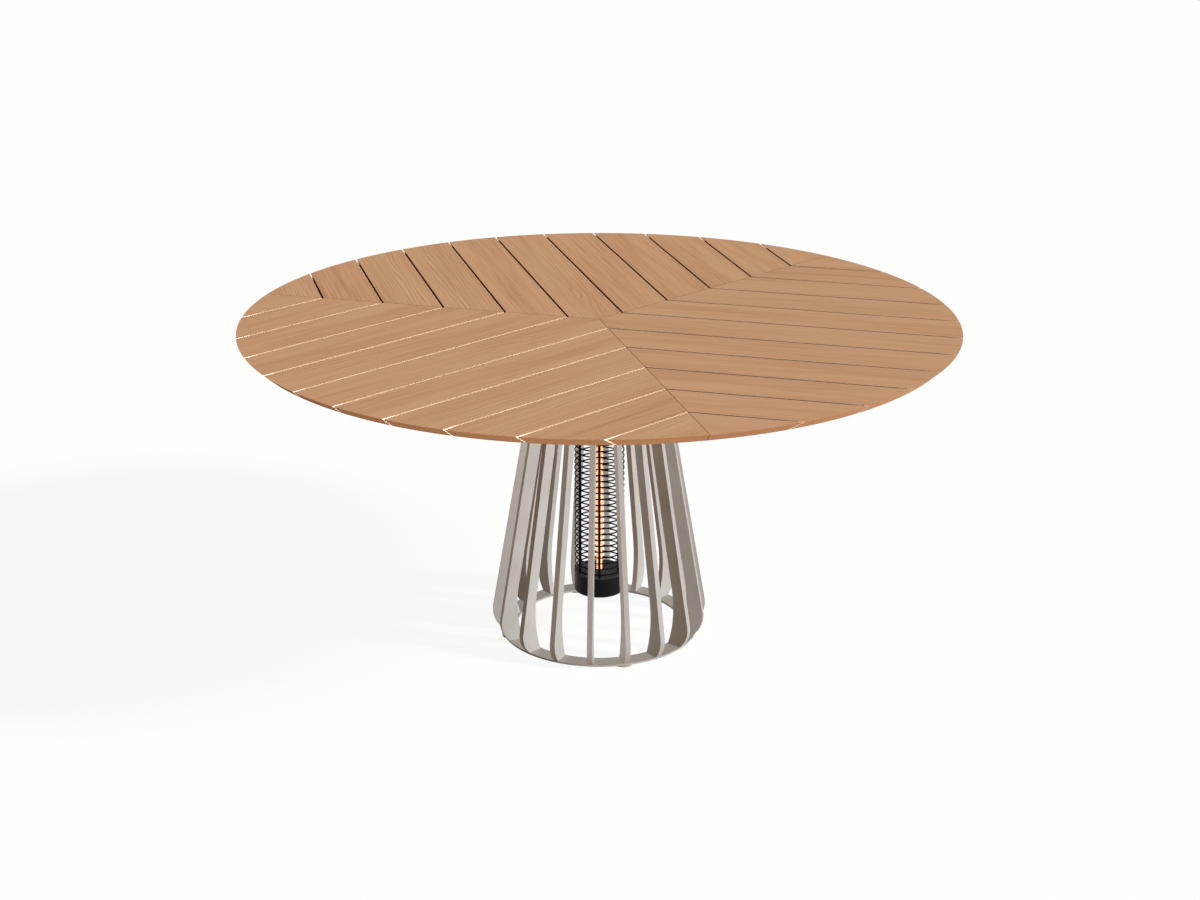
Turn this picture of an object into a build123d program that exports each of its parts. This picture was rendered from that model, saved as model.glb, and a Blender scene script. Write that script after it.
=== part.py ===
"""Round outdoor dining table: a slatted teak top on a pedestal of flat metal fins.

The top is three sectors of slats. The slats of a sector run parallel to its middle line,
their inner ends are mitred along the seams, and the three seams meet over the pedestal.
Rails and a rim ring under the slats join them and carry them. The fins stand on a floor
ring with four screw-in feet, and end under a head plate that is bolted to the rails' hub.
An infrared heater hangs on a pin under the head plate, on the pedestal's axis.

Millimetres and degrees, +Z up. The origin is on the floor, on the table's axis. Angles
are counted from +X towards +Y.
"""

import math
import os

from build123d import *

os.makedirs("parts", exist_ok=True)

# Whole table
TABLE_HEIGHT = 750
TOP_DIAMETER = 1600
SEAT_CLEARANCE = 0.3
RUNNING_FIT = 0.1
CUT_OVERRUN = 10

# Slatted top
SECTOR_NAMES = ("right", "back", "left")
FIRST_SECTOR_ANGLE = -15
SLAT_WIDTH = 123.2
SLAT_THICKNESS = 18
SLAT_ARRIS = 0.6
SLOT_WIDTH = 4.2
SEAM_GAP = 1.0
RIM_BEVEL = 20

# Rails, rim ring and hub plate under the slats
RAIL_WIDTH = 40
RAIL_HEIGHT = 15
RAIL_WALL = 2
RIM_RING_INSET = 35
RIM_RING_WIDTH = 30
RIM_RING_THICKNESS = 6
HUB_PLATE_MARGIN = 14
HUB_PLATE_THICKNESS = 6

# Pedestal fins
FIN_COUNT = 18
FIRST_FIN_ANGLE = 5
FIN_GROUP_NAMES = ("back", "left", "front")
FIN_THICKNESS = 12
FIN_LEAN = 10
FIN_OUTER_RADIUS = 249.6
FIN_OUTER_ARC = 60
FIN_OUTER_BULGE_HEIGHT = 52
FIN_BELLY_WIDTH = 39.3
FIN_INNER_ARC = 280
FIN_INNER_BULGE_HEIGHT = 95

# Head plate and its bolts
HEAD_PLATE_MARGIN = 9
HEAD_PLATE_THICKNESS = 8
HUB_BOLT_COUNT = 6
HUB_BOLT_SPACE = 16
HUB_BOLT_DIAMETER = 10
HUB_BOLT_HEAD_WIDTH = 16
HUB_BOLT_HEAD_HEIGHT = 6
HUB_BOLT_END = 3

# Floor ring and feet
FLOOR_RING_THICKNESS = 4
FLOOR_RING_OUTER_MARGIN = 0.6
FLOOR_RING_INNER_MARGIN = 3.4
FOOT_COUNT = 4
FIRST_FOOT_ANGLE = 15
FOOT_DIAMETER = 43
FOOT_THICKNESS = 4
FOOT_EDGE_ROUND = 1
FOOT_STUD_DIAMETER = 6
FOOT_STUD_LENGTH = 30
FOOT_BORE_SPARE = 2
FOOT_NUT_WIDTH = 10
FOOT_NUT_HEIGHT = 18

# Heater housing and stepped lid
HEATER_UNDERSIDE_HEIGHT = 94
HEATER_DIAMETER = 116
HEATER_WALL = 2.5
HEATER_BASE_HEIGHT = 48
HEATER_BASE_ROUND = 6
LID_THICKNESS = 2
LID_SPIGOT_DEPTH = 4
LID_STEP_HEIGHT = 1.2
LID_STEP_SHARES = (0.78, 0.62, 0.46)

# Wire guard
GUARD_ROD_COUNT = 6
FIRST_ROD_ANGLE = -90
GUARD_ROD_DIAMETER = 6
GUARD_ROD_INSET = 6.6
GUARD_WIRE = 2.8
GUARD_RING_PITCH = 14.5
GUARD_RING_SIDES = 24
GUARD_WELD_GAP = 0.05

# Lamp
LAMP_DIAMETER = 18
LAMP_GLASS = 1.2
LAMP_ELEMENT_DIAMETER = 11
LAMP_HOLDER_DIAMETER = 30
LAMP_HOLDER_HEIGHT = 34
LAMP_SOCKET_DEPTH = 14

# Heater cap, stem and cable gland
CAP_HEIGHT = 40
CAP_ROUND = 10
STEM_LENGTH = 98
STEM_DIAMETER = 14
STEM_FLANGE_DIAMETER = 40
STEM_FLANGE_THICKNESS = 4
STEM_LUG_THICKNESS = 8
STEM_LUG_WIDTH = 24
STEM_SHOULDER_DROP = 20
GLAND_PLACE_RADIUS = 34
GLAND_HEX_WIDTH = 18
GLAND_HEX_HEIGHT = 6
GLAND_NECK_DIAMETER = 14
GLAND_NECK_HEIGHT = 12
GLAND_BORE_DIAMETER = 8

# Hanger bracket and pin
BRACKET_LENGTH = 50
BRACKET_PLATE_THICKNESS = 4
BRACKET_CHEEK_THICKNESS = 5
BRACKET_SIDE_CLEARANCE = 0.5
PIN_DIAMETER = 8
PIN_DROP = 24
PIN_HEAD_DIAMETER = 13
PIN_HEAD_THICKNESS = 3
PIN_END = 4

# Levels, from the top down
slat_underside = TABLE_HEIGHT - SLAT_THICKNESS
rail_underside = slat_underside - RAIL_HEIGHT
hub_plate_underside = rail_underside - HUB_PLATE_THICKNESS
head_plate_underside = hub_plate_underside - HEAD_PLATE_THICKNESS
floor_ring_underside = FOOT_THICKNESS
floor_ring_top = floor_ring_underside + FLOOR_RING_THICKNESS
pin_height = head_plate_underside - PIN_DROP

# Sizes of the slatted top
top_radius = TOP_DIAMETER / 2
sector_count = len(SECTOR_NAMES)
sector_step = 360 / sector_count
sector_half_angle = math.radians(sector_step / 2)
slat_pitch = SLAT_WIDTH + SLOT_WIDTH
underside_half_width = (top_radius - RIM_BEVEL) * math.sin(sector_half_angle)
rows_beside_middle = math.floor((underside_half_width + SLAT_WIDTH / 2) / slat_pitch)
seam_shift = SEAM_GAP / 2 / math.sin(sector_half_angle)

# Sizes of the fins, worked out from their two bulges
lean = math.radians(FIN_LEAN)
fin_outer_centre = FIN_OUTER_RADIUS - FIN_OUTER_ARC
fin_inner_centre = FIN_OUTER_RADIUS - FIN_BELLY_WIDTH - FIN_INNER_ARC
fin_outer_foot_angle = math.asin((FIN_OUTER_BULGE_HEIGHT - floor_ring_top) / FIN_OUTER_ARC)
fin_inner_foot_angle = math.asin((FIN_INNER_BULGE_HEIGHT - floor_ring_top) / FIN_INNER_ARC)
fin_outer_foot = fin_outer_centre + FIN_OUTER_ARC * math.cos(fin_outer_foot_angle)
fin_inner_foot = fin_inner_centre + FIN_INNER_ARC * math.cos(fin_inner_foot_angle)


def radius_on_lean(centre, arc, bulge_height, height):
    """Radius of a fin's straight edge at a height, where it leaves its bulge's arc."""
    tangent_radius = centre + arc * math.cos(lean)
    tangent_height = bulge_height + arc * math.sin(lean)
    return tangent_radius - (height - tangent_height) * math.tan(lean)


fin_outer_top = radius_on_lean(
    fin_outer_centre, FIN_OUTER_ARC, FIN_OUTER_BULGE_HEIGHT, head_plate_underside
)
fin_inner_top = radius_on_lean(
    fin_inner_centre, FIN_INNER_ARC, FIN_INNER_BULGE_HEIGHT, head_plate_underside
)

# Sizes of the ring, the plates and the feet, which follow the fins
floor_ring_outer = fin_outer_foot + FLOOR_RING_OUTER_MARGIN
floor_ring_inner = fin_inner_foot - FLOOR_RING_INNER_MARGIN
foot_circle_radius = (floor_ring_outer + floor_ring_inner) / 2
foot_bore_radius = FOOT_STUD_DIAMETER / 2 + RUNNING_FIT
foot_bore_depth = FOOT_STUD_LENGTH - FLOOR_RING_THICKNESS + FOOT_BORE_SPARE
head_plate_radius = fin_outer_top + HEAD_PLATE_MARGIN
hub_plate_radius = fin_outer_top + HUB_PLATE_MARGIN
hub_bolt_hole = HUB_BOLT_DIAMETER / 2 + SEAT_CLEARANCE
hub_bolt_head_radius = HUB_BOLT_HEAD_WIDTH / 2
hub_bolt_beside_rail = RAIL_WIDTH / 2 + HUB_BOLT_SPACE + hub_bolt_head_radius
hub_bolt_circle = hub_bolt_beside_rail / math.sin(math.radians(sector_step / 4))
rim_ring_outer = top_radius - RIM_BEVEL - RIM_RING_INSET
rim_ring_inner = rim_ring_outer - RIM_RING_WIDTH

# Levels and sizes of the heater, from its underside up
heater_radius = HEATER_DIAMETER / 2
heater_base_top = HEATER_UNDERSIDE_HEIGHT + HEATER_BASE_HEIGHT
lid_top = heater_base_top + LID_THICKNESS
stem_shoulder = pin_height - STEM_SHOULDER_DROP
cap_top = stem_shoulder - STEM_LENGTH
guard_top = cap_top - CAP_HEIGHT
guard_height = guard_top - lid_top
rod_circle_radius = heater_radius - GUARD_ROD_INSET
ring_inner_radius = rod_circle_radius + GUARD_ROD_DIAMETER / 2 + GUARD_WELD_GAP
guard_ring_count = math.floor(guard_height / GUARD_RING_PITCH)
lamp_radius = LAMP_DIAMETER / 2
lamp_socket_radius = lamp_radius + SEAT_CLEARANCE
lower_holder_bottom = HEATER_UNDERSIDE_HEIGHT + HEATER_WALL
lower_holder_top = lower_holder_bottom + LAMP_HOLDER_HEIGHT
lamp_bottom = lower_holder_top - LAMP_SOCKET_DEPTH
lamp_top = guard_top + LAMP_SOCKET_DEPTH
lamp_length = lamp_top - lamp_bottom
cheek_gap = STEM_LUG_THICKNESS + 2 * BRACKET_SIDE_CLEARANCE
bracket_width = cheek_gap + 2 * BRACKET_CHEEK_THICKNESS


def seam_x(y):
    """Distance along a sector's middle line at which its seam lies y beside that line."""
    return abs(y) / math.tan(sector_half_angle) + seam_shift


def make_slat(sector_angle, row):
    """One slat, cut to the two seams of its sector and to the bevelled rim."""
    low = row * slat_pitch - SLAT_WIDTH / 2
    high = low + SLAT_WIDTH
    far = top_radius + CUT_OVERRUN
    corners = [(seam_x(low), low), (far, low), (far, high), (seam_x(high), high)]
    if low < 0 < high:
        corners.append((seam_x(0), 0))
    turn = math.radians(sector_angle)
    along = Vector(math.cos(turn), math.sin(turn), 0)
    with BuildPart() as slat:
        with BuildSketch(Plane(origin=(0, 0, slat_underside), x_dir=along, z_dir=(0, 0, 1))):
            with BuildLine():
                Polyline(*corners, close=True)
            make_face()
        extrude(amount=SLAT_THICKNESS)
        with Locations((0, 0, slat_underside)):
            Cone(
                bottom_radius=top_radius - RIM_BEVEL,
                top_radius=top_radius,
                height=SLAT_THICKNESS,
                align=(Align.CENTER, Align.CENTER, Align.MIN),
                mode=Mode.INTERSECT,
            )
        upper_face = slat.faces().sort_by(Axis.Z)[-1]
        chamfer(upper_face.edges().filter_by(Axis((0, 0, 0), along)), length=SLAT_ARRIS)
    return slat


# Slats
for sector_number, sector_name in enumerate(SECTOR_NAMES):
    angle = FIRST_SECTOR_ANGLE + sector_number * sector_step
    for row_number in range(-rows_beside_middle, rows_beside_middle + 1):
        slat = make_slat(angle, row_number)
        slat.part.label = f"slat_{sector_name}_{row_number + rows_beside_middle + 1:02d}"
        export_step(slat.part, f"parts/{slat.part.label}.step")

# Rim ring
with BuildPart() as rim_ring:
    with BuildSketch(Plane.XY.offset(slat_underside - RIM_RING_THICKNESS)):
        Circle(rim_ring_outer)
        Circle(rim_ring_inner, mode=Mode.SUBTRACT)
    extrude(amount=RIM_RING_THICKNESS)
rim_ring.part.label = "rim_ring"
export_step(rim_ring.part, "parts/rim_ring.step")


def make_rails(first_angle):
    """Three square tubes from the hub to the rim ring, one for each sector."""
    half_step = math.radians(sector_step / 4)
    start = RAIL_WIDTH / 2 / math.tan(half_step) + SEAT_CLEARANCE
    end = math.sqrt(rim_ring_inner**2 - (RAIL_WIDTH / 2) ** 2) - SEAT_CLEARANCE
    length = end - start
    places = PolarLocations((start + end) / 2, sector_count, start_angle=first_angle)
    with BuildPart() as rails:
        with BuildSketch(Plane.XY.offset(rail_underside)):
            with places:
                Rectangle(length, RAIL_WIDTH)
        extrude(amount=RAIL_HEIGHT)
        with BuildSketch(Plane.XY.offset(rail_underside + RAIL_WALL)):
            with places:
                Rectangle(length, RAIL_WIDTH - 2 * RAIL_WALL)
        extrude(amount=RAIL_HEIGHT - 2 * RAIL_WALL, mode=Mode.SUBTRACT)
    return rails


# Rails under the sectors' middle lines
middle_rails = make_rails(FIRST_SECTOR_ANGLE)
middle_rails.part.label = "middle_rails"
export_step(middle_rails.part, "parts/middle_rails.step")

# Rails under the seams
seam_rails = make_rails(FIRST_SECTOR_ANGLE + sector_step / 2)
seam_rails.part.label = "seam_rails"
export_step(seam_rails.part, "parts/seam_rails.step")

# Hub plate, under the rails' inner ends
first_bolt_angle = FIRST_SECTOR_ANGLE + sector_step / 4
with BuildPart() as hub_plate:
    with BuildSketch(Plane.XY.offset(hub_plate_underside)):
        Circle(hub_plate_radius)
        with PolarLocations(hub_bolt_circle, HUB_BOLT_COUNT, start_angle=first_bolt_angle):
            Circle(hub_bolt_hole, mode=Mode.SUBTRACT)
    extrude(amount=HUB_PLATE_THICKNESS)
hub_plate.part.label = "hub_plate"
export_step(hub_plate.part, "parts/hub_plate.step")

# Head plate, on the fins
with BuildPart() as head_plate:
    with BuildSketch(Plane.XY.offset(head_plate_underside)):
        Circle(head_plate_radius)
        with PolarLocations(hub_bolt_circle, HUB_BOLT_COUNT, start_angle=first_bolt_angle):
            Circle(hub_bolt_hole, mode=Mode.SUBTRACT)
    extrude(amount=HEAD_PLATE_THICKNESS)
head_plate.part.label = "head_plate"
export_step(head_plate.part, "parts/head_plate.step")

# Bolts through both plates, with their nuts
bolt_places = PolarLocations(hub_bolt_circle, HUB_BOLT_COUNT, start_angle=first_bolt_angle)
with BuildPart() as hub_bolts:
    with BuildSketch(Plane.XY.offset(head_plate_underside - HUB_BOLT_HEAD_HEIGHT)):
        with bolt_places:
            RegularPolygon(hub_bolt_head_radius, side_count=6, major_radius=False)
    extrude(amount=HUB_BOLT_HEAD_HEIGHT)
    with BuildSketch(Plane.XY.offset(head_plate_underside)):
        with bolt_places:
            Circle(HUB_BOLT_DIAMETER / 2)
    extrude(amount=HEAD_PLATE_THICKNESS + HUB_PLATE_THICKNESS + HUB_BOLT_HEAD_HEIGHT + HUB_BOLT_END)
    with BuildSketch(Plane.XY.offset(rail_underside)):
        with bolt_places:
            RegularPolygon(hub_bolt_head_radius, side_count=6, major_radius=False)
            Circle(HUB_BOLT_DIAMETER / 2 + RUNNING_FIT, mode=Mode.SUBTRACT)
    extrude(amount=HUB_BOLT_HEAD_HEIGHT)
hub_bolts.part.label = "hub_bolts"
export_step(hub_bolts.part, "parts/hub_bolts.step")


def make_fins(first_angle, count):
    """Neighbouring fins, each a flat plate that leans inwards above two round bulges."""
    with BuildPart() as fins:
        for number in range(count):
            turn = math.radians(first_angle + number * 360 / FIN_COUNT)
            outwards = Vector(math.cos(turn), math.sin(turn), 0)
            sideways = Vector(math.sin(turn), -math.cos(turn), 0)
            with BuildSketch(Plane(origin=(0, 0, 0), x_dir=outwards, z_dir=sideways)):
                with BuildLine():
                    outer = CenterArc(
                        (fin_outer_centre, FIN_OUTER_BULGE_HEIGHT),
                        FIN_OUTER_ARC,
                        FIN_LEAN,
                        -FIN_LEAN - math.degrees(fin_outer_foot_angle),
                    )
                    inner = CenterArc(
                        (fin_inner_centre, FIN_INNER_BULGE_HEIGHT),
                        FIN_INNER_ARC,
                        -math.degrees(fin_inner_foot_angle),
                        FIN_LEAN + math.degrees(fin_inner_foot_angle),
                    )
                    Line(outer @ 1, inner @ 0)
                    Polyline(
                        inner @ 1,
                        (fin_inner_top, head_plate_underside),
                        (fin_outer_top, head_plate_underside),
                        outer @ 0,
                    )
                make_face()
            extrude(amount=FIN_THICKNESS / 2, both=True)
        with BuildSketch(Plane.XY.offset(floor_ring_top)):
            with PolarLocations(foot_circle_radius, FOOT_COUNT, start_angle=FIRST_FOOT_ANGLE):
                Circle(foot_bore_radius)
        extrude(amount=foot_bore_depth, mode=Mode.SUBTRACT)
    return fins


# Fins, in neighbouring groups
fins_per_group = FIN_COUNT // len(FIN_GROUP_NAMES)
for group_number, group_name in enumerate(FIN_GROUP_NAMES):
    group_angle = FIRST_FIN_ANGLE + group_number * fins_per_group * 360 / FIN_COUNT
    fins = make_fins(group_angle, fins_per_group)
    fins.part.label = f"fins_{group_name}"
    export_step(fins.part, f"parts/{fins.part.label}.step")

# Floor ring
with BuildPart() as floor_ring:
    with BuildSketch(Plane.XY.offset(floor_ring_underside)):
        Circle(floor_ring_outer)
        Circle(floor_ring_inner, mode=Mode.SUBTRACT)
        with PolarLocations(foot_circle_radius, FOOT_COUNT, start_angle=FIRST_FOOT_ANGLE):
            Circle(foot_bore_radius, mode=Mode.SUBTRACT)
    extrude(amount=FLOOR_RING_THICKNESS)
floor_ring.part.label = "floor_ring"
export_step(floor_ring.part, "parts/floor_ring.step")

# Nuts on the floor ring, for the two feet that stand between fins
with BuildPart() as foot_nuts:
    with BuildSketch(Plane.XY.offset(floor_ring_top)):
        with PolarLocations(foot_circle_radius, FOOT_COUNT // 2, start_angle=FIRST_FOOT_ANGLE):
            RegularPolygon(FOOT_NUT_WIDTH / 2, side_count=6, major_radius=False)
            Circle(foot_bore_radius, mode=Mode.SUBTRACT)
    extrude(amount=FOOT_NUT_HEIGHT)
foot_nuts.part.label = "foot_nuts"
export_step(foot_nuts.part, "parts/foot_nuts.step")


def make_foot(angle):
    """A round foot with the stud that screws it into the pedestal."""
    turn = math.radians(angle)
    place = (foot_circle_radius * math.cos(turn), foot_circle_radius * math.sin(turn))
    with BuildPart() as foot:
        with BuildSketch(Plane.XY):
            with Locations(place):
                Circle(FOOT_DIAMETER / 2)
        extrude(amount=FOOT_THICKNESS)
        fillet(foot.edges().filter_by(GeomType.CIRCLE).sort_by(Axis.Z)[0], FOOT_EDGE_ROUND)
        with BuildSketch(Plane.XY.offset(FOOT_THICKNESS)):
            with Locations(place):
                Circle(FOOT_STUD_DIAMETER / 2)
        extrude(amount=FOOT_STUD_LENGTH)
    return foot


# Feet
for foot_number in range(FOOT_COUNT):
    foot = make_foot(FIRST_FOOT_ANGLE + foot_number * 360 / FOOT_COUNT)
    foot.part.label = f"foot_{foot_number + 1}"
    export_step(foot.part, f"parts/{foot.part.label}.step")

# Heater base, an open cup
with BuildPart() as heater_base:
    with BuildSketch(Plane.XY.offset(HEATER_UNDERSIDE_HEIGHT)):
        Circle(heater_radius)
    extrude(amount=HEATER_BASE_HEIGHT)
    fillet(heater_base.edges().sort_by(Axis.Z)[0], HEATER_BASE_ROUND)
    offset(amount=-HEATER_WALL, openings=heater_base.faces().sort_by(Axis.Z)[-1])
heater_base.part.label = "heater_base"
export_step(heater_base.part, "parts/heater_base.step")

# Heater lid, with a spigot in the cup and low steps towards the lamp
with BuildPart() as heater_lid:
    with BuildSketch(Plane.XY.offset(heater_base_top - LID_SPIGOT_DEPTH)):
        Circle(heater_radius - HEATER_WALL - SEAT_CLEARANCE)
    extrude(amount=LID_SPIGOT_DEPTH)
    with BuildSketch(Plane.XY.offset(heater_base_top)):
        Circle(heater_radius)
    extrude(amount=LID_THICKNESS)
    for step_number, radius_share in enumerate(LID_STEP_SHARES):
        with BuildSketch(Plane.XY.offset(lid_top + step_number * LID_STEP_HEIGHT)):
            Circle(radius_share * heater_radius)
        extrude(amount=LID_STEP_HEIGHT)
    with BuildSketch(Plane.XY.offset(heater_base_top - LID_SPIGOT_DEPTH)):
        Circle(lamp_socket_radius)
    extrude(
        amount=LID_SPIGOT_DEPTH + LID_THICKNESS + len(LID_STEP_SHARES) * LID_STEP_HEIGHT,
        mode=Mode.SUBTRACT,
    )
heater_lid.part.label = "heater_lid"
export_step(heater_lid.part, "parts/heater_lid.step")

# Guard rods, between the lid and the cap
with BuildPart() as guard_rods:
    with BuildSketch(Plane.XY.offset(lid_top)):
        with PolarLocations(rod_circle_radius, GUARD_ROD_COUNT, start_angle=FIRST_ROD_ANGLE):
            Circle(GUARD_ROD_DIAMETER / 2)
    extrude(amount=guard_height)
guard_rods.part.label = "guard_rods"
export_step(guard_rods.part, "parts/guard_rods.step")

# Guard rings, welded round the rods
ring_turn = 180 / GUARD_RING_SIDES
first_ring_rise = (guard_height - (guard_ring_count - 1) * GUARD_RING_PITCH - GUARD_WIRE) / 2
with BuildPart() as guard_rings:
    for ring_number in range(guard_ring_count):
        ring_rise = first_ring_rise + ring_number * GUARD_RING_PITCH
        with BuildSketch(Plane.XY.offset(lid_top + ring_rise)):
            RegularPolygon(
                ring_inner_radius + GUARD_WIRE, GUARD_RING_SIDES, False, rotation=ring_turn
            )
            RegularPolygon(
                ring_inner_radius, GUARD_RING_SIDES, False, rotation=ring_turn, mode=Mode.SUBTRACT
            )
    extrude(amount=GUARD_WIRE)
guard_rings.part.label = "guard_rings"
export_step(guard_rings.part, "parts/guard_rings.step")

# Lamp holders, one in the base and one in the cap
with BuildPart() as lamp_holders:
    with BuildSketch(Plane.XY.offset(lower_holder_bottom)):
        Circle(LAMP_HOLDER_DIAMETER / 2)
    extrude(amount=LAMP_HOLDER_HEIGHT)
    with BuildSketch(Plane.XY.offset(lamp_bottom)):
        Circle(lamp_socket_radius)
    extrude(amount=LAMP_SOCKET_DEPTH, mode=Mode.SUBTRACT)
    with BuildSketch(Plane.XY.offset(guard_top)):
        Circle(LAMP_HOLDER_DIAMETER / 2)
    extrude(amount=LAMP_HOLDER_HEIGHT)
    with BuildSketch(Plane.XY.offset(guard_top)):
        Circle(lamp_socket_radius)
    extrude(amount=LAMP_SOCKET_DEPTH, mode=Mode.SUBTRACT)
lamp_holders.part.label = "lamp_holders"
export_step(lamp_holders.part, "parts/lamp_holders.step")

# Lamp tube
with BuildPart() as lamp_tube:
    with BuildSketch(Plane.XY.offset(lamp_bottom)):
        Circle(lamp_radius)
        Circle(lamp_radius - LAMP_GLASS, mode=Mode.SUBTRACT)
    extrude(amount=lamp_length)
lamp_tube.part.label = "lamp_tube"
export_step(lamp_tube.part, "parts/lamp_tube.step")

# Heating element inside the tube
with BuildPart() as heating_element:
    with BuildSketch(Plane.XY.offset(lamp_bottom)):
        Circle(LAMP_ELEMENT_DIAMETER / 2)
    extrude(amount=lamp_length)
heating_element.part.label = "heating_element"
export_step(heating_element.part, "parts/heating_element.step")

# Heater cap, with a pocket for the upper lamp holder
with BuildPart() as heater_cap:
    with BuildSketch(Plane.XY.offset(guard_top)):
        Circle(heater_radius)
    extrude(amount=CAP_HEIGHT)
    fillet(heater_cap.edges().sort_by(Axis.Z)[-1], CAP_ROUND)
    with BuildSketch(Plane.XY.offset(guard_top)):
        Circle(LAMP_HOLDER_DIAMETER / 2 + SEAT_CLEARANCE)
    extrude(amount=LAMP_HOLDER_HEIGHT, mode=Mode.SUBTRACT)
heater_cap.part.label = "heater_cap"
export_step(heater_cap.part, "parts/heater_cap.step")

# Stem that hangs the heater, with a bored lug at its upper end
with BuildPart() as hanger_stem:
    with BuildSketch(Plane.XY.offset(cap_top)):
        Circle(STEM_FLANGE_DIAMETER / 2)
    extrude(amount=STEM_FLANGE_THICKNESS)
    with BuildSketch(Plane.XY.offset(cap_top)):
        Circle(STEM_DIAMETER / 2)
    extrude(amount=STEM_LENGTH)
    with BuildSketch(Plane.YZ):
        with Locations((0, pin_height)):
            Circle(STEM_LUG_WIDTH / 2)
        with Locations((0, stem_shoulder)):
            Rectangle(STEM_DIAMETER, STEM_SHOULDER_DROP, align=(Align.CENTER, Align.MIN))
        with Locations((0, pin_height)):
            Circle(PIN_DIAMETER / 2 + RUNNING_FIT, mode=Mode.SUBTRACT)
    extrude(amount=STEM_LUG_THICKNESS / 2, both=True)
hanger_stem.part.label = "hanger_stem"
export_step(hanger_stem.part, "parts/hanger_stem.step")

# Cable gland on the cap
gland_place = (0, GLAND_PLACE_RADIUS)
with BuildPart() as cable_gland:
    with BuildSketch(Plane.XY.offset(cap_top)):
        with Locations(gland_place):
            RegularPolygon(GLAND_HEX_WIDTH / 2, side_count=6, major_radius=False)
    extrude(amount=GLAND_HEX_HEIGHT)
    with BuildSketch(Plane.XY.offset(cap_top + GLAND_HEX_HEIGHT)):
        with Locations(gland_place):
            Circle(GLAND_NECK_DIAMETER / 2)
    extrude(amount=GLAND_NECK_HEIGHT)
    with BuildSketch(Plane.XY.offset(cap_top)):
        with Locations(gland_place):
            Circle(GLAND_BORE_DIAMETER / 2)
    extrude(amount=GLAND_HEX_HEIGHT + GLAND_NECK_HEIGHT, mode=Mode.SUBTRACT)
cable_gland.part.label = "cable_gland"
export_step(cable_gland.part, "parts/cable_gland.step")

# Hanger bracket, a fork under the head plate
with BuildPart() as hanger_bracket:
    with BuildSketch(Plane.XY.offset(head_plate_underside - BRACKET_PLATE_THICKNESS)):
        Rectangle(bracket_width, BRACKET_LENGTH)
    extrude(amount=BRACKET_PLATE_THICKNESS)
    with BuildSketch(Plane.YZ):
        with Locations((0, pin_height)):
            Circle(STEM_LUG_WIDTH / 2)
            Rectangle(STEM_LUG_WIDTH, PIN_DROP, align=(Align.CENTER, Align.MIN))
    extrude(amount=bracket_width / 2, both=True)
    with BuildSketch(Plane.YZ):
        with Locations((0, pin_height)):
            Circle(PIN_DIAMETER / 2 + RUNNING_FIT)
    extrude(amount=bracket_width, both=True, mode=Mode.SUBTRACT)
    with BuildSketch(Plane.XY.offset(head_plate_underside - BRACKET_PLATE_THICKNESS)):
        Rectangle(cheek_gap, BRACKET_LENGTH)
    extrude(amount=-PIN_DROP - STEM_LUG_WIDTH, mode=Mode.SUBTRACT)
hanger_bracket.part.label = "hanger_bracket"
export_step(hanger_bracket.part, "parts/hanger_bracket.step")

# Pin through the bracket and the stem's lug
with BuildPart() as hanger_pin:
    with BuildSketch(Plane.YZ.offset(-bracket_width / 2 - PIN_HEAD_THICKNESS)):
        with Locations((0, pin_height)):
            Circle(PIN_HEAD_DIAMETER / 2)
    extrude(amount=PIN_HEAD_THICKNESS)
    with BuildSketch(Plane.YZ.offset(-bracket_width / 2)):
        with Locations((0, pin_height)):
            Circle(PIN_DIAMETER / 2)
    extrude(amount=bracket_width + PIN_END)
hanger_pin.part.label = "hanger_pin"
export_step(hanger_pin.part, "parts/hanger_pin.step")
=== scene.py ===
"""Finishes for a round outdoor dining table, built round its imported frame.

The teak slats, the powder-coated pedestal and sub-frame and the enamelled heater are the
frame's own solids with new materials. The heater's guard hoops, its glowing coil and the
slats' screws are made here. Metres, +Z up, the origin on the floor under the top's centre.
"""

import math

import bmesh
import bpy
from mathutils import Matrix, Vector


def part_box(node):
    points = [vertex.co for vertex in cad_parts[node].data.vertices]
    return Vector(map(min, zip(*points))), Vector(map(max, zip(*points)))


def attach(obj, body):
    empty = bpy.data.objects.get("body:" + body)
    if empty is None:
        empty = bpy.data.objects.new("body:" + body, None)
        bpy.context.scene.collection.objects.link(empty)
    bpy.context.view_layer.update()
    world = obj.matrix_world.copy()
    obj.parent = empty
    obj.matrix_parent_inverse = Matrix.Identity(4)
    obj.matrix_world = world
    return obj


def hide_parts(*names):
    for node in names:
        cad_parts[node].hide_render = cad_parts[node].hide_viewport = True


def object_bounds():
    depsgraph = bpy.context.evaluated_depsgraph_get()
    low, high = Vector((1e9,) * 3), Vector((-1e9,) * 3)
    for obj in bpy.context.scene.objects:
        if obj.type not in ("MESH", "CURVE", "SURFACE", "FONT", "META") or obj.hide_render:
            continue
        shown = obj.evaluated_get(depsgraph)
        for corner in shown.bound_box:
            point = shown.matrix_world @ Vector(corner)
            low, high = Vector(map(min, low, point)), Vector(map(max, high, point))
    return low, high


bl_info = {
    "name": "Outdoor Dining Table",
    "version": (1, 0, 0),
    "blender": (4, 5, 0),
    "location": "3D View > Sidebar > Table",
    "description": "Finishes and small pieces of a round slatted table with a heater",
    "category": "Add Mesh",
}

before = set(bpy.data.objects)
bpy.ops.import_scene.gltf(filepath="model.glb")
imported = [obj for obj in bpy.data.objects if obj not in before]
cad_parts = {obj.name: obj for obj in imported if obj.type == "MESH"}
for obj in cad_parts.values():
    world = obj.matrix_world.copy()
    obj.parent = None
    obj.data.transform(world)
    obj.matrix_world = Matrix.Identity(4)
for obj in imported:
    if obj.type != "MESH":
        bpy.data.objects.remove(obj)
cad_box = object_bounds()

MM = 0.001
TOP_HEIGHT = cad_box[1].z
TOP_RADIUS = cad_box[1].x

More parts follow.
